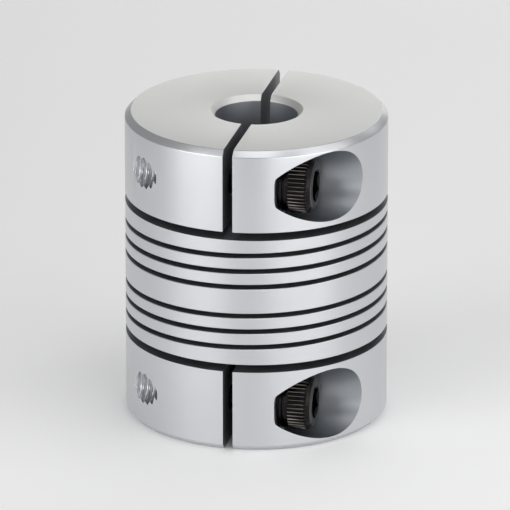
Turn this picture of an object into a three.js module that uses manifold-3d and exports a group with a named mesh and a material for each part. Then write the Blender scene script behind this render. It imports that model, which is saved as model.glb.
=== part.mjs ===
// Beam coupling, 31.8 mm outside diameter by 38.1 mm long, with two clamping hubs.
//
// The aluminium body is one machined piece on the real coupling. A saw cut across each end, a
// relief cut behind each clamp and two helical cuts leave it in zones that flex against each
// other, and each zone is a solid of its own here. Two cap screws close the clamps.
//
// Frame: millimetres, +Z along the shaft axis, origin at the middle of the lower end face.
// The clamp screws lie along X with their heads at +X, in front of the bore, at -Y.

import * as THREE from "three";
import { mergeVertices } from "three/addons/utils/BufferGeometryUtils.js";
import Module from "manifold-3d";

// ---- driving dimensions ---------------------------------------------------------------------

const OUTER_DIAMETER = 31.8;
const LENGTH = 38.1;
const BORE_DIAMETER = 10;
const COIL_BORE_DIAMETER = 14; // the bore is opened out behind the flexing turns
const RIM_CHAMFER = 0.7;
const BORE_CHAMFER = 0.65;

const CLAMP_SLOT = 1.2; // saw cut that parts the two jaws of a clamp
const RELIEF_HEIGHT = 10.65; // middle of the relief cut, from its end face
const RELIEF_CUT = 1; // width of the relief cut
const WEB_FRONT = 8; // the relief cut stops here in Y and leaves a web at the back

const HELIX_PITCH = 1.99;
const HELIX_CUT = 0.6;
const HELIX_TURNS = 3;
const LOWER_HELIX_START = 12.33; // middle of the cut, at the back of the coupling
const UPPER_HELIX_START = 19.99;

const SCREW_HEIGHT = 5.2; // screw axis, from its end face
const SCREW_OFFSET = 10.9; // screw axis, in front of the shaft axis
const SCREW_LENGTH = 12.7; // No. 8-32 x 1/2 in socket head cap screw
const SCREW_DIAMETER = 3.7; // shank drawn under the thread's 4.17 mm, to turn and tilt freely
const HEAD_DIAMETER = 6.86;
const HEAD_HEIGHT = 4.17;
const HEX_SOCKET = 3.57; // 9/64 in across the flats
const SOCKET_DEPTH = 2;
const HEAD_CHAMFER = 0.35;
const SEAT_X = 5.5; // flat under the screw head
const SEAT_GAP = 0.05;
const POCKET_DIAMETER = 8.7;
const CLEARANCE_HOLE = 4.6;
const TAPPED_HOLE = 4.2;

const ZONE_GAP = 0.1; // parts zones that are continuous metal on the real coupling
const END_GAP_ANGLE = 0.5; // gap at each end of a flexing turn, in degrees

const ROUND_STEPS = 72;
const HOLE_STEPS = 32;
const COORDINATE_STEP = 1e-5;

// ---- derived values ---------------------------------------------------------------------------

const outer = OUTER_DIAMETER / 2;
const bore = BORE_DIAMETER / 2;
const coilBore = COIL_BORE_DIAMETER / 2;
const reliefNear = RELIEF_HEIGHT - RELIEF_CUT / 2;
const reliefFar = RELIEF_HEIGHT + RELIEF_CUT / 2;
const overlap = 0.3; // how far a cut runs past a face, or a piece of a solid into the next
const beyond = 40; // longer than anything it cuts

// ---- materials ----------------------------------------------------------------------------------

const turnedAluminium = new THREE.MeshStandardMaterial({
  color: 0xc9cbcd,
  roughness: 0.42,
  metalness: 0.9,
});
const milledAluminium = new THREE.MeshStandardMaterial({
  color: 0xc4c4c1,
  roughness: 0.5,
  metalness: 0.85,
});
const blackOxide = new THREE.MeshStandardMaterial({
  color: 0x1d1e20,
  roughness: 0.38,
  metalness: 0.7,
});

// ---- solids ---------------------------------------------------------------------------------------

const wasm = await Module();
wasm.setup();

// Coordinates are rounded, so that faces which should coincide do so exactly.
function solidFrom(geometry) {
  geometry.deleteAttribute("normal");
  geometry.deleteAttribute("uv");
  const position = geometry.attributes.position;
  position.array.forEach((value, i) => {
    position.array[i] = Math.round(value / COORDINATE_STEP) * COORDINATE_STEP + 0;
  });
  const merged = mergeVertices(geometry, COORDINATE_STEP);
  return new wasm.Manifold(
    new wasm.Mesh({
      numProp: 3,
      vertProperties: new Float32Array(merged.attributes.position.array),
      triVerts: new Uint32Array(merged.index.array),
    }),
  );
}

function namedMesh(name, solid, material) {
  const cut = solid.getMesh();
  const geometry = new THREE.BufferGeometry();
  const positions = new THREE.BufferAttribute(new Float32Array(cut.vertProperties), 3);
  geometry.setAttribute("position", positions);
  geometry.setIndex(new THREE.BufferAttribute(new Uint32Array(cut.triVerts), 1));
  geometry.computeVertexNormals();
  const mesh = new THREE.Mesh(geometry, material);
  mesh.name = name;
  return mesh;
}

// A ring about the shaft axis from a closed outline of [radius, height] corners.
function turnedRing(corners) {
  const outline = corners.map(([radius, height]) => new THREE.Vector2(radius, height));
  if (THREE.ShapeUtils.area(outline) < 0) outline.reverse();
  outline.push(outline[0].clone());
  return solidFrom(new THREE.LatheGeometry(outline, ROUND_STEPS).rotateX(Math.PI / 2));
}

function ringBetween(inner, rim, low, high) {
  return turnedRing([
    [inner, low],
    [rim, low],
    [rim, high],
    [inner, high],
  ]);
}

function box(low, high) {
  const size = high.map((value, axis) => value - low[axis]);
  const middle = high.map((value, axis) => (value + low[axis]) / 2);
  return solidFrom(new THREE.BoxGeometry(...size).translate(...middle));
}

// A round bar along X on the screw's axis.
function bar(diameter, fromX, toX, height, steps = HOLE_STEPS) {
  const geometry = new THREE.CylinderGeometry(diameter / 2, diameter / 2, toX - fromX, steps);
  geometry.rotateZ(-Math.PI / 2);
  return solidFrom(geometry.translate((fromX + toX) / 2, -SCREW_OFFSET, height));
}

// ---- flexing zones --------------------------------------------------------------------------------

// The height of a helical cut's middle, a number of turns on from its start at the back.
const lowerHelix = (turns) => LOWER_HELIX_START + HELIX_PITCH * turns;
const upperHelix = (turns) => UPPER_HELIX_START + HELIX_PITCH * turns;
const above = (helix, firstTurn) => (turn) => helix(firstTurn + turn) + HELIX_CUT / 2;
const below = (helix, firstTurn) => (turn) => helix(firstTurn + turn) - HELIX_CUT / 2;

// A section wound about the shaft axis. The turn runs from 0 at the back, round the front, to 1
// at the back again. Each corner of the section is a level and a radius, and a level's height is
// a function of the turn. The levels may count upwards or downwards. The block starts as a
// straight extrusion of the section.
function woundSection(levels, corners, from, to) {
  const up = Math.sign(levels.at(-1)(from) - levels[0](from));
  const outline = corners.map(([level, radius]) => new THREE.Vector2(up * level, radius));
  const section = new THREE.Shape(outline);
  const steps = Math.round((to - from) * ROUND_STEPS);
  const geometry = new THREE.ExtrudeGeometry(section, { depth: 1, steps, bevelEnabled: false });
  const position = geometry.attributes.position;
  for (let i = 0; i < position.count; i += 1) {
    const level = levels[Math.abs(Math.round(position.getX(i)))];
    const radius = position.getY(i);
    const turn = THREE.MathUtils.lerp(from, to, position.getZ(i));
    const angle = (turn - 0.5) * 2 * Math.PI;
    position.setXYZ(i, radius * Math.sin(angle), -radius * Math.cos(angle), level(turn));
  }
  return solidFrom(geometry);
}

const flexSection = [
  [0, coilBore],
  [1, coilBore],
  [1, outer],
  [0, outer],
];

// A full turn whose two ends meet in a step at the back.
function steppedRing(levels, corners) {
  return woundSection(levels, corners, 0, 0.5).add(woundSection(levels, corners, 0.5, 1));
}

// One flexing turn of the helix, with a small gap at each end.
function flexingTurn(helix, firstTurn) {
  const levels = [above(helix, firstTurn), below(helix, firstTurn + 1)];
  const gap = END_GAP_ANGLE / 360;
  return woundSection(levels, flexSection, gap, 1 - gap);
}

// The band between the two helical cuts.
function middleBand() {
  return steppedRing([above(lowerHelix, HELIX_TURNS - 1), below(upperHelix, 0)], flexSection);
}

// ---- hubs -----------------------------------------------------------------------------------------

// Heights in a hub are given from its own end face. The upper hub is the lower one's mirror image.
const ends = {
  lower: (height) => height,
  upper: (height) => LENGTH - height,
};

function between(first, second) {
  return [first, second].sort((a, b) => a - b);
}

// The web at the back, and the plate with a ramp that carries the flexing turns. The plate's
// lip keeps the bore's size up to the thin end of the ramp.
function hubBase(end) {
  const from = ends[end];
  const ramp = end === "lower" ? below(lowerHelix, 0) : above(upperHelix, HELIX_TURNS - 1);
  const thinEnd = end === "lower" ? ramp(0) : ramp(1);
  const lipHeight = (thinEnd + from(reliefFar)) / 2;
  const levels = [() => from(reliefFar), () => lipHeight, ramp];
  const section = [
    [0, bore],
    [1, bore],
    [1, coilBore],
    [2, coilBore],
    [2, outer],
    [0, outer],
  ];
  const [low, high] = between(from(reliefNear + ZONE_GAP), from(reliefFar));
  const behind = box([-beyond, WEB_FRONT, -beyond], [beyond, beyond, beyond * 2]);
  return steppedRing(levels, section).add(ringBetween(bore, outer, low, high).intersect(behind));
}

function clampRing(from) {
  return turnedRing([
    [bore, from(reliefNear)],
    [bore, from(BORE_CHAMFER)],
    [bore + BORE_CHAMFER, from(0)],
    [outer - RIM_CHAMFER, from(0)],
    [outer, from(RIM_CHAMFER)],
    [outer, from(reliefNear)],
  ]);
}

// The half of the clamp at +X, with the screw's clearance hole and the pocket for its head.
function headJaw(end) {
  const height = ends[end](SCREW_HEIGHT);
  const half = box([CLAMP_SLOT / 2, -beyond, -beyond], [beyond, beyond, beyond * 2]);
  return clampRing(ends[end])
    .intersect(half)
    .subtract(bar(CLEARANCE_HOLE, 0, SEAT_X + overlap, height))
    .subtract(bar(POCKET_DIAMETER, SEAT_X, beyond, height, ROUND_STEPS));
}

// The half of the clamp at -X, with the hole that the screw threads into.
function tappedJaw(end) {
  const height = ends[end](SCREW_HEIGHT);
  const half = box([-beyond, -beyond, -beyond], [-CLAMP_SLOT / 2, beyond, beyond * 2]);
  return clampRing(ends[end])
    .intersect(half)
    .subtract(bar(TAPPED_HOLE, -beyond, 0, height));
}

// A socket head cap screw: a turned head and shank, with a hexagonal socket in the head.
function clampScrew(end) {
  const height = ends[end](SCREW_HEIGHT);
  const head = HEAD_DIAMETER / 2;
  const shank = SCREW_DIAMETER / 2;
  const seat = SEAT_X + SEAT_GAP;
  const top = seat + HEAD_HEIGHT;
  const tip = seat - SCREW_LENGTH;
  const outline = [
    [0, tip],
    [shank - HEAD_CHAMFER, tip],
    [shank, tip + HEAD_CHAMFER],
    [shank, seat],
    [head, seat],
    [head, top - HEAD_CHAMFER],
    [head - HEAD_CHAMFER, top],
    [0, top],
  ].map(([radius, along]) => new THREE.Vector2(radius, along));
  const turned = new THREE.LatheGeometry(outline, HOLE_STEPS)
    .rotateZ(-Math.PI / 2)
    .translate(0, -SCREW_OFFSET, height);
  const corner = HEX_SOCKET / Math.sqrt(3);
  const hexagon = new THREE.CylinderGeometry(corner, corner, SOCKET_DEPTH + overlap, 6)
    .rotateZ(-Math.PI / 2)
    .translate(top - (SOCKET_DEPTH - overlap) / 2, -SCREW_OFFSET, height);
  return solidFrom(turned).subtract(solidFrom(hexagon));
}

// ---- the coupling ---------------------------------------------------------------------------------

const coupling = new THREE.Group();

for (const end of ["lower", "upper"]) {
  coupling.add(namedMesh(`${end}_hub_base`, hubBase(end), turnedAluminium));
  coupling.add(namedMesh(`${end}_head_jaw`, headJaw(end), milledAluminium));
  coupling.add(namedMesh(`${end}_tapped_jaw`, tappedJaw(end), milledAluminium));
  coupling.add(namedMesh(`${end}_clamp_screw`, clampScrew(end), blackOxide));
}
for (const [end, helix] of [["lower", lowerHelix], ["upper", upperHelix]]) {
  for (let turn = 0; turn < HELIX_TURNS - 1; turn += 1) {
    const name = `${end}_coil_${turn + 1}`;
    coupling.add(namedMesh(name, flexingTurn(helix, turn), turnedAluminium));
  }
}
coupling.add(namedMesh("middle_band", middleBand(), turnedAluminium));

export default coupling;
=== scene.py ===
import math

import bmesh
import bpy
import numpy as np
from mathutils import Matrix, Vector


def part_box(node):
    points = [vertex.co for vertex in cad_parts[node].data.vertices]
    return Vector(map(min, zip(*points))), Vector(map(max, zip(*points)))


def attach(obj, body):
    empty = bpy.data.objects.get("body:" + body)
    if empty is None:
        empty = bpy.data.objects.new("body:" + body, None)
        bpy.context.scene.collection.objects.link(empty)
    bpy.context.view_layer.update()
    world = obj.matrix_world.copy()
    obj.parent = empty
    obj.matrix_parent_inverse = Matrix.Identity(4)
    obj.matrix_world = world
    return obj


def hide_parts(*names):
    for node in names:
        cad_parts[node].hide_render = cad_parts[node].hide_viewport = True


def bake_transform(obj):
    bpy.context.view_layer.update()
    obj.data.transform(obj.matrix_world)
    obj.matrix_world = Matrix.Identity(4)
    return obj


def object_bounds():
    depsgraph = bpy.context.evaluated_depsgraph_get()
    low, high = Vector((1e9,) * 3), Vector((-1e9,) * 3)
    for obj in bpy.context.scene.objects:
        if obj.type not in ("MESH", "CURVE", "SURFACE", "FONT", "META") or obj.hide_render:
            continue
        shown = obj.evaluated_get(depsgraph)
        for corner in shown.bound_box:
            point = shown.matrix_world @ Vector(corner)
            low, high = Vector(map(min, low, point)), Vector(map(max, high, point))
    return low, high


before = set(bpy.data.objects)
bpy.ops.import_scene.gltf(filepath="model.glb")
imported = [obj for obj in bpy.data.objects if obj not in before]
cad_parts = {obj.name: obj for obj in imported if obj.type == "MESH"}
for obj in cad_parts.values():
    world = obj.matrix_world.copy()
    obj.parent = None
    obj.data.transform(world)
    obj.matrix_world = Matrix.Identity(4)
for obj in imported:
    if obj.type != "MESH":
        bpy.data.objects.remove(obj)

# ---- sizes, in metres ------------------------------------------------------------------------

MM = 0.001
INCH = 25.4 * MM
cad_low, cad_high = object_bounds()

LENGTH = cad_high.z
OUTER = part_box("middle_band")[1].x
BORE = 5 * MM
COIL_BORE = 7 * MM
RIM_CHAMFER = 0.7 * MM
BORE_CHAMFER = 0.65 * MM
RIM_ROUND = 0.2 * MM
EDGE_ROUND = 0.08 * MM
EDGE_BREAK = 0.06 * MM

jaw_low, jaw_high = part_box("lower_head_jaw")
CLAMP_SLOT = 2 * jaw_low.x
RELIEF_NEAR = jaw_high.z
RELIEF_CUT = 1 * MM
WEB_FRONT = 8 * MM
SLOT_INTO_WEB = 0.15 * MM

HELIX_CUT = 0.6 * MM
HELIX_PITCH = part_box("lower_coil_2")[0].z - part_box("lower_coil_1")[0].z
HELIX_TURNS = 3
helix_starts = {
    end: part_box(f"{end}_coil_1")[0].z - HELIX_CUT / 2 for end in ("lower", "upper")
}

screw_low, screw_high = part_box("lower_clamp_screw")
SCREW_Y = (screw_low.y + screw_high.y) / 2
SCREW_HEIGHT = (screw_low.z + screw_high.z) / 2
HEAD_RADIUS = (screw_high.z - screw_low.z) / 2
HEAD_TOP = screw_high.x
SCREW_TIP = screw_low.x
HEAD_LENGTH = 4.17 * MM
SOCKET_DEPTH = 2 * MM
SEAT_GAP = 0.05 * MM
SEAT_X = HEAD_TOP - HEAD_LENGTH - SEAT_GAP
POCKET_RADIUS = 4.35 * MM
POCKET_FILLET = 0.25 * MM
CLEARANCE_RADIUS = 2.3 * MM
THREAD_PITCH = INCH / 32
# The screw's thread is cut thin, since the jaws tilt 1 degree apart as they close.
THREAD_DEPTH = 0.35 * MM
NUT_RADIUS = 1.62 * MM
BOLT_RADIUS = 1.40 * MM

ROUND = 240
BEYOND = 2 * LENGTH

# ---- meshes ----------------------------------------------------------------------------------


def new_object(name, points, faces):
    """A mesh object with its faces turned outwards."""
    mesh = bpy.data.meshes.new(name)
    mesh.from_pydata([tuple(p) for p in points], [], faces)
    made = bmesh.new()
    made.from_mesh(mesh)
    bmesh.ops.recalc_face_normals(made, faces=made.faces)
    made.to_mesh(mesh)
    made.free()
    piece = bpy.data.objects.new(name, mesh)
    bpy.context.scene.collection.objects.link(piece)
    return piece


def quads_between(rows, columns, close_rows=False):
    """Quads over a grid of points that closes on itself along its columns."""
    faces = []
    for i in range(rows if close_rows else rows - 1):
        this, following = i * columns, ((i + 1) % rows) * columns
        for j in range(columns):
            after = (j + 1) % columns
            faces.append((this + j, this + after, following + after, following + j))
    return faces


def rounded(corners, steps=4):
    """Points of a closed outline, from corners of (u, v, radius)."""
    points = []
    for i, (u, v, radius) in enumerate(corners):
        here = Vector((u, v))
        if not radius:
            points.append(here)
            continue
        back = (Vector(corners[i - 1][:2]) - here).normalized()
        ahead = (Vector(corners[(i + 1) % len(corners)][:2]) - here).normalized()
        half = back.angle(ahead) / 2
        centre = here + (back + ahead).normalized() * (radius / math.sin(half))
        start = here + back * (radius / math.tan(half)) - centre
        end = here + ahead * (radius / math.tan(half)) - centre
        sweep = start.angle_signed(end)
        for k in range(steps + 1):
            turned = Matrix.Rotation(-sweep * k / steps, 2) @ start
            points.append(centre + turned)
    return points


def revolve(name, outline, segments=ROUND):
    """A ring about Z from a closed outline of (radius, height) points off the axis."""
    points = []
    for i in range(segments):
        angle = 2 * math.pi * i / segments
        c, s = math.cos(angle), math.sin(angle)
        points += [(r * s, -r * c, z) for r, z in outline]
    return new_object(name, points, quads_between(segments, len(outline), True))


def bar_along_x(name, outline, height, segments=96):
    """A turned bar on a clamp screw's axis, from (x, radius) points. Both ends are closed."""
    points = []
    for x, radius in outline:
        for j in range(segments):
            angle = 2 * math.pi * (j / segments + 0.25)
            across, up = radius * math.cos(angle), radius * math.sin(angle)
            points.append((x, SCREW_Y + across, height + up))
    faces = quads_between(len(outline), segments)
    faces.append(tuple(range(segments)))
    faces.append(tuple(range(len(points) - segments, len(points))))
    return new_object(name, points, faces)


def block(name, low, high):
    xs, ys, zs = zip(low, high)
    points = [(x, y, z) for x in xs for y in ys for z in zs]
    faces = [(0, 1, 3, 2), (4, 5, 7, 6), (0, 1, 5, 4), (2, 3, 7, 6), (0, 2, 6, 4), (1, 3, 7, 5)]
    return new_object(name, points, faces)


def wound_section(name, section, start_height, turns, steps_per_turn=ROUND):
    """A closed section of (radius, height) corners wound up a helix from the back."""
    steps = round(turns * steps_per_turn)
    points = []
    for i in range(steps + 1):
        turn = i / steps_per_turn
        angle = (turn - 0.5) * 2 * math.pi
        c, s = math.cos(angle), math.sin(angle)
        rise = start_height + HELIX_PITCH * turn
        points += [(r * s, -r * c, rise + z) for r, z in section]
    faces = quads_between(steps + 1, len(section))
    faces.append(tuple(range(len(section))))
    faces.append(tuple(range(len(points) - len(section), len(points))))
    return new_object(name, points, faces)


def thread_profile(phase):
    """0 at the root and 1 at the crest of a 60 degree thread with small flats."""
    triangle = 1 - abs(2 * (phase % 1) - 1)
    return min(1, max(0, 1.35 * triangle - 0.12))


def threaded_bar(name, core, from_x, to_x, height, lead_in=0.0, steps_per_pitch=12, segments=60):
    """A bar with a right-hand thread on a clamp screw's axis. The thread fades over lead_in."""
    rows = round((to_x - from_x) / THREAD_PITCH * steps_per_pitch) + 1
    points = []
    for i in range(rows):
        x = from_x + (to_x - from_x) * i / (rows - 1)
        depth = THREAD_DEPTH
        if lead_in:
            depth *= min(1, (x - from_x) / lead_in)
        for j in range(segments):
            share = j / segments
            crest = thread_profile(x / THREAD_PITCH - share)
            radius = core + depth * crest
            angle = 2 * math.pi * share
            across, up = radius * math.cos(angle), radius * math.sin(angle)
            points.append((x, SCREW_Y + across, height + up))
    faces = quads_between(rows, segments)
    faces.append(tuple(range(segments)))
    faces.append(tuple(range(len(points) - segments, len(points))))
    return new_object(name, points, faces)


def combine(piece, tools, operation="DIFFERENCE"):
    """Cuts or joins tools into piece, and deletes them."""
    for tool in tools:
        modifier = piece.modifiers.new("combine", "BOOLEAN")
        modifier.operation = operation
        modifier.solver = "MANIFOLD"
        modifier.object = tool
        evaluated = piece.evaluated_get(bpy.context.evaluated_depsgraph_get())
        mesh = bpy.data.meshes.new_from_object(evaluated)
        piece.modifiers.clear()
        piece.data = mesh
        bpy.data.objects.remove(tool)
    return piece


def part_of(piece, name, low, high):
    """A copy of the piece inside a block."""
    copy = bpy.data.objects.new(name, piece.data.copy())
    bpy.context.scene.collection.objects.link(copy)
    return combine(copy, [block("slab", low, high)], "INTERSECT")


def from_end(end, height):
    """A height in the row frame, from a height above the hub's own end face."""
    return height if end == "lower" else LENGTH - height


# ---- the machined body -----------------------------------------------------------------------


def turned_blank():
    """The bored and chamfered bar before any cut. The bore opens out behind the helical cuts."""
    lip_low = (RELIEF_NEAR + RELIEF_CUT + helix_starts["lower"] - HELIX_CUT / 2) / 2
    helix_top = helix_starts["upper"] + HELIX_TURNS * HELIX_PITCH + HELIX_CUT / 2
    lip_high = (LENGTH - RELIEF_NEAR - RELIEF_CUT + helix_top) / 2
    outline = [
        (BORE, BORE_CHAMFER, EDGE_ROUND),
        (BORE + BORE_CHAMFER, 0, EDGE_ROUND),
        (OUTER - RIM_CHAMFER, 0, RIM_ROUND),
        (OUTER, RIM_CHAMFER, RIM_ROUND),
        (OUTER, LENGTH - RIM_CHAMFER, RIM_ROUND),
        (OUTER - RIM_CHAMFER, LENGTH, RIM_ROUND),
        (BORE + BORE_CHAMFER, LENGTH, EDGE_ROUND),
        (BORE, LENGTH - BORE_CHAMFER, EDGE_ROUND),
        (BORE, lip_high, 0),
        (COIL_BORE, lip_high, 0),
        (COIL_BORE, lip_low, 0),
        (BORE, lip_low, 0),
    ]
    return revolve("coupling_body", rounded(outline))


def helical_cutter(end):
    """The path of the slitting cut, with its mouth opened a little to break the edges."""
    half = HELIX_CUT / 2
    inside = COIL_BORE - 1 * MM
    flare = 0.5 * MM
    section = [
        (inside, -half),
        (OUTER - EDGE_BREAK, -half),
        (OUTER + flare, -half - EDGE_BREAK - flare),
        (OUTER + flare, half + EDGE_BREAK + flare),
        (OUTER - EDGE_BREAK, half),
        (inside, half),
    ]
    return wound_section("helix", section, helix_starts[end], HELIX_TURNS)


def relief_cutter(end):
    """The cut across behind the clamp, as far back as the web."""
    near, far = from_end(end, RELIEF_NEAR), from_end(end, RELIEF_NEAR + RELIEF_CUT)
    low, high = min(near, far), max(near, far)
    return block("relief", (-BEYOND, -BEYOND, low), (BEYOND, WEB_FRONT, high))


def slot_cutter(end):
    """The saw cut that parts the jaws."""
    ends = sorted((from_end(end, -BEYOND), from_end(end, RELIEF_NEAR + SLOT_INTO_WEB)))
    half = CLAMP_SLOT / 2
    return block("slot", (-half, -BEYOND, ends[0]), (half, BEYOND, ends[1]))


def pocket_cutter(end):
    """The counterbore that takes the screw head."""
    out = SEAT_X + BEYOND
    tiny = 0.01 * MM
    fillet = []
    for a in np.linspace(0, math.pi / 2, 6):
        x = SEAT_X + POCKET_FILLET * (1 - math.cos(a))
        fillet.append((x, POCKET_RADIUS - POCKET_FILLET * (1 - math.sin(a))))
    outline = [(SEAT_X, tiny), *fillet, (out, POCKET_RADIUS), (out, tiny)]
    return bar_along_x("pocket", outline, from_end(end, SCREW_HEIGHT), ROUND)


def clearance_cutter(end):
    outline = [(0, CLEARANCE_RADIUS), (SEAT_X + 1 * MM, CLEARANCE_RADIUS)]
    return bar_along_x("clearance", outline, from_end(end, SCREW_HEIGHT))


def tap_cutter(end):
    outside = -OUTER - 0.2 * MM
    return threaded_bar("tap", NUT_RADIUS, outside, 0, from_end(end, SCREW_HEIGHT))


CUTTERS = (
    helical_cutter, relief_cutter, slot_cutter, pocket_cutter, clearance_cutter, tap_cutter
)


def machined_body():
    cutters = []
    for end in ("lower", "upper"):
        cutters += [make(end) for make in CUTTERS]
    return combine(turned_blank(), cutters)


# ---- the clamp screws ------------------------------------------------------------------------

KNURL_TEETH = 42
KNURL_DEPTH = 0.22 * MM
KNURL_START = 1.3 * MM
KNURL_END = 3.45 * MM
KNURL_POINTS_PER_TOOTH = 10
HEAD_RELIEF = 0.2 * MM
COLLAR_BELOW = 0.08
GROOVE_BELOW = 0.30


def knurled_head(height):
    """A head with a grooved plain collar, a straight knurl and a rounded rim.

    Each row has its distance from the seat, its depth in mm below the knurl's crests and how
    much of the knurl it carries.
    """
    top = HEAD_LENGTH
    rows = [
        (0, 0.45, 0),
        (HEAD_RELIEF, 0.4, 0),
        (HEAD_RELIEF + 0.08 * MM, 0.14, 0),
        (HEAD_RELIEF + 0.16 * MM, COLLAR_BELOW, 0),
        (0.62 * MM, COLLAR_BELOW, 0),
        (0.7 * MM, GROOVE_BELOW, 0),
        (0.82 * MM, GROOVE_BELOW, 0),
        (0.9 * MM, COLLAR_BELOW, 0),
        (KNURL_START - 0.1 * MM, COLLAR_BELOW, 0),
        (KNURL_START - 0.05 * MM, 0.14, 0),
        (KNURL_START, 0.1, 0.4),
        (KNURL_START + 0.1 * MM, 0.0, 1),
        (KNURL_END - 0.15 * MM, 0.0, 1),
        (KNURL_END, 0.06, 0.8),
        (KNURL_END + 0.12 * MM, 0.16, 0.35),
        (KNURL_END + 0.2 * MM, 0.25, 0),
        (top - 0.3 * MM, 0.4, 0),
        (top - 0.12 * MM, 0.55, 0),
        (top - 0.03 * MM, 0.7, 0),
        (top, 0.85, 0),
    ]
    segments = KNURL_TEETH * KNURL_POINTS_PER_TOOTH
    points = []
    for along, below, share in rows:
        for j in range(segments):
            wave = abs(2 * (j / KNURL_POINTS_PER_TOOTH % 1) - 1)
            groove = min(1, max(0, 2 * wave - 0.2))
            r = HEAD_RADIUS - below * MM - KNURL_DEPTH * share * groove
            angle = 2 * math.pi * j / segments
            x = HEAD_TOP - top + along
            points.append((x, SCREW_Y + r * math.cos(angle), height + r * math.sin(angle)))
    faces = quads_between(len(rows), segments)
    faces.append(tuple(range(segments)))
    faces.append(tuple(range(len(points) - segments, len(points))))
    return new_object("head", points, faces)


def hex_socket_cutter(height):
    """A 9/64 in hexagon, with a drilled cone at its bottom and a small lead-in."""
    flat = INCH * 9 / 64 / 2
    corner = flat / math.cos(math.pi / 6)
    deep = HEAD_TOP - SOCKET_DEPTH
    hexagon = bar_along_x("hexagon", [(deep, corner), (HEAD_TOP + 1 * MM, corner)], height, 6)
    drill = flat - 0.05 * MM
    cone = bar_along_x(
        "drilled", [(deep - 0.8 * MM, 0.02 * MM), (deep, drill), (deep + 0.3 * MM, drill)], height
    )
    lead = 0.2 * MM
    outline = [(HEAD_TOP - 2 * lead, corner - 2 * lead), (HEAD_TOP + lead, corner + lead)]
    mouth = bar_along_x("mouth", outline, height)
    return [hexagon, cone, mouth]


def clamp_screw(end):
    height = from_end(end, SCREW_HEIGHT)
    seat = HEAD_TOP - HEAD_LENGTH
    head = combine(knurled_head(height), hex_socket_cutter(height))
    shank = threaded_bar(
        "shank", BOLT_RADIUS, SCREW_TIP, seat + 0.5 * MM, height, lead_in=0.9 * MM
    )
    screw = combine(head, [shank], "UNION")
    screw.name = f"{end}_cap_screw"
    return screw


# ---- materials -------------------------------------------------------------------------------


class Shader:
    """A few short calls for building a node material."""

    def __init__(self, name):
        self.material = bpy.data.materials.new(name)
        self.material.use_nodes = True
        self.tree = self.material.node_tree
        self.tree.nodes.clear()
        output = self.tree.nodes.new("ShaderNodeOutputMaterial")
        self.surface = self.tree.nodes.new("ShaderNodeBsdfPrincipled")
        self.link(self.surface.outputs["BSDF"], output.inputs["Surface"])

    def link(self, source, target):
        self.tree.links.new(source, target)

    def node(self, kind, values=(), **settings):
        made = self.tree.nodes.new(kind)
        for key, value in settings.items():
            setattr(made, key, value)
        for key, value in dict(values).items():
            if isinstance(value, bpy.types.NodeSocket):
                self.link(value, made.inputs[key])
            else:
                made.inputs[key].default_value = value
        return made

    def place(self):
        return self.node("ShaderNodeTexCoord").outputs["Object"]

    def math(self, operation, a, b=0.0):
        made = self.node("ShaderNodeMath", {0: a, 1: b}, operation=operation)
        return made.outputs[0]

    def stretched(self, vector, scale):
        made = self.node("ShaderNodeVectorMath", {0: vector, 1: scale}, operation="MULTIPLY")
        return made.outputs[0]

    def noise(self, vector, scale, detail=2.0, roughness=0.5):
        values = {"Vector": vector, "Scale": scale, "Detail": detail, "Roughness": roughness}
        return self.node("ShaderNodeTexNoise", values).outputs["Fac"]

    def spread(self, fac, low, high):
        made = self.node("ShaderNodeMapRange", {"Value": fac, "To Min": low, "To Max": high})
        return made.outputs["Result"]

    def direction(self, x, y, z):
        values = {"X": float(x), "Y": float(y), "Z": float(z)}
        return self.node("ShaderNodeCombineXYZ", values).outputs[0]

    def colour(self, fac, first, second):
        """A mix of two colours. The first may be another node's output."""
        if not isinstance(first, bpy.types.NodeSocket):
            first = (*first, 1)
        made = self.node("ShaderNodeMix", {0: fac, 6: first, 7: (*second, 1)}, data_type="RGBA")
        return made.outputs[2]

    def radius_about(self, across, first, second):
        """Distance from a line along one axis, from the other two coordinates."""
        apart = self.node("ShaderNodeSeparateXYZ", {"Vector": across})
        a = self.math("POWER", self.math("SUBTRACT", apart.outputs[first[0]], first[1]), 2.0)
        b = self.math("POWER", self.math("SUBTRACT", apart.outputs[second[0]], second[1]), 2.0)
        return self.math("SQRT", self.math("ADD", a, b))

    def bump(self, height, distance, strength=1.0):
        values = {"Height": height, "Distance": distance, "Strength": strength}
        bumped = self.node("ShaderNodeBump", values).outputs["Normal"]
        self.link(bumped, self.surface.inputs["Normal"])

    def drive(self, socket, source):
        self.link(source, self.surface.inputs[socket])

    def fix(self, **values):
        for key, value in values.items():
            self.surface.inputs[key.replace("_", " ")].default_value = value


def turned_side():
    """Satin turned aluminium. The turning lines stretch each reflection along the axis."""
    s = Shader("turned_aluminium")
    place = s.place()
    lines = s.noise(s.stretched(place, (60, 60, 14000)), 1.0, 3.0)
    patches = s.noise(place, 220.0, 3.0)
    s.fix(Metallic=1.0, Anisotropic=0.6)
    s.drive("Tangent", s.direction(0, 0, 1))
    s.drive("Base Color", s.colour(patches, (0.66, 0.675, 0.70), (0.695, 0.705, 0.725)))
    s.drive("Roughness", s.spread(patches, 0.32, 0.38))
    s.bump(lines, 0.0000012, 0.5)
    return s.material


def faced_end():
    """Concentric facing marks on the end faces."""
    s = Shader("faced_aluminium")
    place = s.place()
    radius = s.radius_about(place, ("X", 0.0), ("Y", 0.0))
    ring = s.node("ShaderNodeCombineXYZ", {"X": s.math("MULTIPLY", radius, 9000.0)}).outputs[0]
    lines = s.noise(ring, 1.0, 3.0)
    patches = s.noise(place, 260.0, 3.0)
    s.fix(Metallic=1.0)
    s.drive("Base Color", s.colour(patches, (0.685, 0.685, 0.67), (0.725, 0.725, 0.71)))
    s.drive("Roughness", s.spread(patches, 0.42, 0.5))
    s.bump(lines, 0.000002, 0.6)
    return s.material


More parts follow.
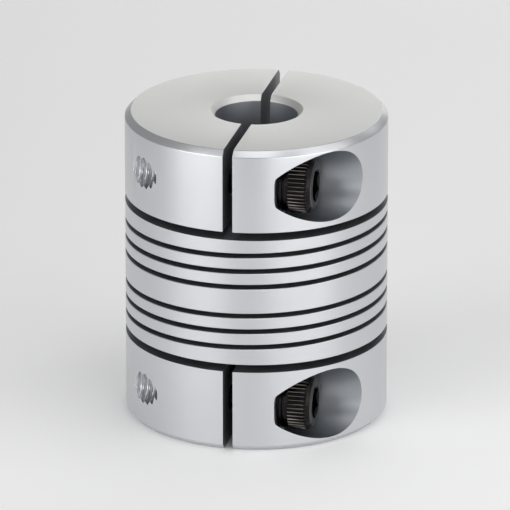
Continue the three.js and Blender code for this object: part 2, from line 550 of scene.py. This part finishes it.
def bored_metal():
    """The reamed bore and the clearance holes, darkened with painted shade."""
    s = Shader("bored_aluminium")
    place = s.place()
    lines = s.noise(s.stretched(place, (60, 60, 9000)), 1.0, 3.0)
    s.fix(Metallic=1.0)
    # Painted shade: the base colour is darker than the turned side's to stand in for the shade
    # inside the bore and holes.
    s.drive("Base Color", s.colour(lines, (0.40, 0.42, 0.455), (0.48, 0.50, 0.535)))
    s.drive("Roughness", s.spread(lines, 0.40, 0.50))
    s.bump(lines, 0.000002, 0.5)
    return s.material


def milled_pocket():
    """End-milled wall and seat, with marks that run round the screw's axis."""
    s = Shader("milled_aluminium")
    place = s.place()
    lines = s.noise(s.stretched(place, (7000, 60, 60)), 1.0, 3.0)
    patches = s.noise(place, 420.0, 3.0)
    s.fix(Metallic=1.0, Anisotropic=0.3)
    s.drive("Tangent", s.direction(1, 0, 0))
    s.drive("Base Color", s.colour(patches, (0.37, 0.39, 0.42), (0.44, 0.46, 0.485)))
    s.drive("Roughness", s.spread(lines, 0.36, 0.46))
    s.bump(lines, 0.000002, 0.6)
    return s.material


def slot_with_painted_shade():
    """The rough walls that the slitting saw leaves, darkened with painted shade for the narrow
    cuts.
    """
    s = Shader("slot_painted_shade")
    place = s.place()
    marks = s.noise(s.stretched(place, (500, 700, 7000)), 1.0, 3.0)
    s.fix(Metallic=1.0)
    # Painted shade: this dark base colour stands in for the shade deep inside the slits and slots.
    s.drive("Base Color", s.colour(marks, (0.25, 0.26, 0.275), (0.34, 0.35, 0.365)))
    s.drive("Roughness", s.spread(marks, 0.45, 0.6))
    s.bump(marks, 0.000004, 0.6)
    return s.material


def tapped_thread():
    s = Shader("tapped_aluminium")
    patches = s.noise(s.place(), 1500.0, 3.0)
    s.fix(Metallic=1.0)
    s.drive("Base Color", s.colour(patches, (0.56, 0.57, 0.60), (0.70, 0.71, 0.73)))
    s.drive("Roughness", s.spread(patches, 0.28, 0.42))
    return s.material


RIM_HIGHLIGHT_IN = 0.62 * MM


def black_oxide(end):
    """Oiled black oxide, rubbed to bare steel on the knurl's crests, with a painted highlight in
    the same pale steel colour round the end face's rim.
    """
    s = Shader(f"black_oxide_{end}")
    place = s.place()
    radius = s.radius_about(place, ("Y", SCREW_Y), ("Z", from_end(end, SCREW_HEIGHT)))
    crest = s.node(
        "ShaderNodeMapRange",
        {"Value": radius, "From Min": HEAD_RADIUS - 0.07 * MM, "From Max": HEAD_RADIUS - 0.01 * MM},
    ).outputs["Result"]
    patches = s.noise(place, 1400.0, 4.0)
    # The band round the end face's rim is a painted highlight, not wear.
    off_rim = s.math("ABSOLUTE", s.math("SUBTRACT", radius, HEAD_RADIUS - RIM_HIGHLIGHT_IN))
    rim = s.node(
        "ShaderNodeMapRange",
        {"Value": off_rim, "From Max": 0.12 * MM, "To Min": 0.6, "To Max": 0.0},
    ).outputs["Result"]
    edges = s.math("MAXIMUM", crest, rim)
    wear_and_highlight = s.math("MULTIPLY", edges, s.spread(s.noise(place, 2600.0, 3.0), 0.25, 0.9))
    grain = s.noise(place, 26000.0, 2.0)
    dark = s.colour(patches, (0.010, 0.010, 0.012), (0.028, 0.025, 0.024))
    s.fix(Metallic=1.0)
    # The pale colour is bare steel on the worn crests and a painted highlight on the rim.
    s.drive("Base Color", s.colour(wear_and_highlight, dark, (0.42, 0.38, 0.35)))
    s.drive("Roughness", s.spread(patches, 0.24, 0.40))
    s.bump(grain, 0.000002, 0.4)
    return s.material


def set_materials(piece, *materials):
    """Replaces the empty slots that the cuts leave behind."""
    piece.data.materials.clear()
    for material in materials:
        piece.data.materials.append(material)


def surface_of(centre, normal):
    """Names the tool that made a face of the body, from where the face lies."""
    near = 0.02 * MM
    flat = Vector((centre.x, centre.y, 0))
    radius = flat.length
    height = min(centre.z, LENGTH - centre.z)
    from_screw = math.hypot(centre.y - SCREW_Y, height - SCREW_HEIGHT)
    if height < near:
        return "end"
    if radius > OUTER - RIM_CHAMFER - near and normal.dot(flat.normalized()) > 0.6:
        return "side"
    if abs(abs(centre.x) - CLAMP_SLOT / 2) < near and abs(normal.x) > 0.9:
        return "slot"
    in_pocket = centre.x > SEAT_X - near and from_screw < POCKET_RADIUS + near
    if in_pocket and height < RELIEF_NEAR - near:
        return "pocket"
    if centre.x < 0 and from_screw < NUT_RADIUS + THREAD_DEPTH + near:
        return "thread"
    if 0 < centre.x < SEAT_X and from_screw < CLEARANCE_RADIUS + near:
        return "bore"
    if radius < BORE + BORE_CHAMFER + near and height < BORE_CHAMFER + near:
        return "end"
    if radius < COIL_BORE + near and normal.dot(flat.normalized()) < -0.6:
        return "bore"
    return "slot"


def paint_body(piece, finishes):
    set_materials(piece, *finishes.values())
    names = list(finishes)
    for face in piece.data.polygons:
        face.material_index = names.index(surface_of(face.center, face.normal))


def smooth(piece, degrees=28):
    """Smooth shading, with edges sharper than the angle kept."""
    piece.data.shade_smooth()
    piece.data.set_sharp_from_angle(angle=math.radians(degrees))


# ---- pieces ----------------------------------------------------------------------------------


def slab_of(body, name, low, high):
    return part_of(body, name, (-BEYOND, -BEYOND, low), (BEYOND, BEYOND, high))


def finish_metal(piece, node, finishes):
    paint_body(piece, finishes)
    smooth(piece)
    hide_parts(node)
    return piece


def bend_along_z(piece):
    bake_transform(piece)


def make_jaws(body, end, finishes):
    """The clamp's jaws, cut from the body on either side of the slot. On the real part they bend
    from the web at the back, which stays with the hub.
    """
    low, high = sorted((from_end(end, -1 * MM), from_end(end, RELIEF_NEAR)))
    for jaw, sides in (("head_jaw", (0, BEYOND)), ("tapped_jaw", (-BEYOND, 0))):
        name = f"{end}_{jaw}_fine"
        piece = part_of(body, name, (sides[0], -BEYOND, low), (sides[1], BEYOND, high))
        finish_metal(piece, f"{end}_{jaw}", finishes)
        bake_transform(piece)


def make_flexing_pieces(body, finishes):
    """The middle is cut level at the heights where one joint hands over to the next."""
    first = {end: helix_starts[end] + HELIX_PITCH for end in helix_starts}
    lower = [RELIEF_NEAR] + [first["lower"] + i * HELIX_PITCH for i in range(HELIX_TURNS)]
    upper = [first["upper"], first["upper"] + HELIX_PITCH, LENGTH - RELIEF_NEAR]
    start = helix_starts["upper"]
    zones = [
        ("lower_plate", "lower_hub_base", lower[0], lower[1], "lower_hub", "lower_coil_1"),
        ("lower_turns_1", "lower_coil_1", lower[1], lower[2], "lower_coil_1", "lower_coil_2"),
        ("lower_turns_2", "lower_coil_2", lower[2], lower[3], "lower_coil_2", "middle_band"),
        ("middle_band_fine", "middle_band", lower[3], start, "middle_band", None),
        ("upper_turns_1", "upper_coil_1", start, upper[0], "middle_band", "upper_coil_1"),
        ("upper_turns_2", "upper_coil_2", upper[0], upper[1], "upper_coil_1", "upper_coil_2"),
        ("upper_plate", "upper_hub_base", upper[1], upper[2], "upper_coil_2", "upper_hub"),
    ]
    for name, node, low, high, below, above in zones:
        piece = finish_metal(slab_of(body, name, low, high), node, finishes)
        if above is None:
            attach(piece, below)
            continue
        bend_along_z(piece)


def make_screws():
    for end in ("lower", "upper"):
        screw = clamp_screw(end)
        set_materials(screw, black_oxide(end))
        smooth(screw)
        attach(screw, f"{end}_clamp_screw")
        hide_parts(f"{end}_clamp_screw")


# ---- studio ----------------------------------------------------------------------------------

VIEW_AZIMUTH = 12.6
VIEW_ELEVATION = 20.1
VIEW_DISTANCE = 0.915
LENS_LENGTH = 532
FRAME_SHIFT = (-0.18 * MM, 0.31 * MM)


def direction(azimuth, elevation):
    a, e = math.radians(azimuth), math.radians(elevation)
    return Vector((math.sin(a) * math.cos(e), -math.cos(a) * math.cos(e), math.sin(e)))


def make_camera():
    centre = Vector((0, 0, LENGTH / 2))
    back = direction(VIEW_AZIMUTH, VIEW_ELEVATION)
    camera = bpy.data.objects.new("camera", bpy.data.cameras.new("camera"))
    bpy.context.scene.collection.objects.link(camera)
    camera.data.lens = LENS_LENGTH
    camera.rotation_mode = "QUATERNION"
    camera.rotation_quaternion = (-back).to_track_quat("-Z", "Y")
    right = camera.rotation_quaternion @ Vector((1, 0, 0))
    up = camera.rotation_quaternion @ Vector((0, 1, 0))
    camera.location = centre + right * FRAME_SHIFT[0] + up * FRAME_SHIFT[1] + back * VIEW_DISTANCE
    bpy.context.scene.camera = camera


# Each softbox has its azimuth from the camera's, its elevation, its width and height in metres,
# and its power in watts.
SOFTBOXES = {
    "left_key": (-49, 14, 0.30, 0.15, 0.36),
    "right_key": (40, 14, 0.38, 0.15, 0.47),
    "left_high": (-50, 42, 0.15, 0.15, 0.12),
    "right_high": (70, 42, 0.30, 0.15, 0.16),
    "overhead_front": (0, 70, 0.15, 0.15, 0.12),
    "back_low": (175, 14, 0.25, 0.15, 0.15),
    "back_right": (145, 35, 0.20, 0.15, 0.07),
    "overhead_back": (180, 70, 0.15, 0.15, 0.03),
    "overhead_right": (90, 70, 0.15, 0.15, 0.08),
}
SOFTBOX_DISTANCE = 0.35
WORLD_STRENGTH = 0.33


def softbox(name, azimuth, elevation, width, height, power):
    lamp = bpy.data.lights.new(name, "AREA")
    lamp.shape = "RECTANGLE"
    lamp.size = width
    lamp.size_y = height
    lamp.energy = power
    light = bpy.data.objects.new(name, lamp)
    bpy.context.scene.collection.objects.link(light)
    towards = direction(VIEW_AZIMUTH + azimuth, elevation)
    light.location = Vector((0, 0, LENGTH / 2)) + towards * SOFTBOX_DISTANCE
    light.rotation_mode = "QUATERNION"
    light.rotation_quaternion = towards.to_track_quat("Z", "Y")
    return light


def make_floor():
    s = Shader("pale_floor")
    mottle = s.noise(s.place(), 30.0)
    s.drive("Base Color", s.colour(mottle, (0.95, 0.95, 0.95), (0.97, 0.97, 0.97)))
    s.fix(Roughness=0.8)
    side = 60 * LENGTH
    corners = [(-side, -side, 0), (side, -side, 0), (side, side, 0), (-side, side, 0)]
    floor = new_object("floor", corners, [(0, 1, 2, 3)])
    set_materials(floor, s.material)


def make_studio():
    bpy.context.scene.view_settings.view_transform = "Standard"
    world = bpy.data.worlds.new("studio")
    bpy.context.scene.world = world
    world.use_nodes = True
    background = world.node_tree.nodes["Background"]
    background.inputs["Color"].default_value = (1, 1, 1, 1)
    background.inputs["Strength"].default_value = WORLD_STRENGTH
    for name, settings in SOFTBOXES.items():
        softbox(name, *settings)


# ---- the scene -------------------------------------------------------------------------------

make_camera()
body = machined_body()
metal = {
    "side": turned_side(),
    "end": faced_end(),
    "bore": bored_metal(),
    "pocket": milled_pocket(),
    "slot": slot_with_painted_shade(),
    "thread": tapped_thread(),
}
for end in ("lower", "upper"):
    make_jaws(body, end, metal)
make_flexing_pieces(body, metal)
bpy.data.objects.remove(body)
make_screws()
make_floor()
make_studio()
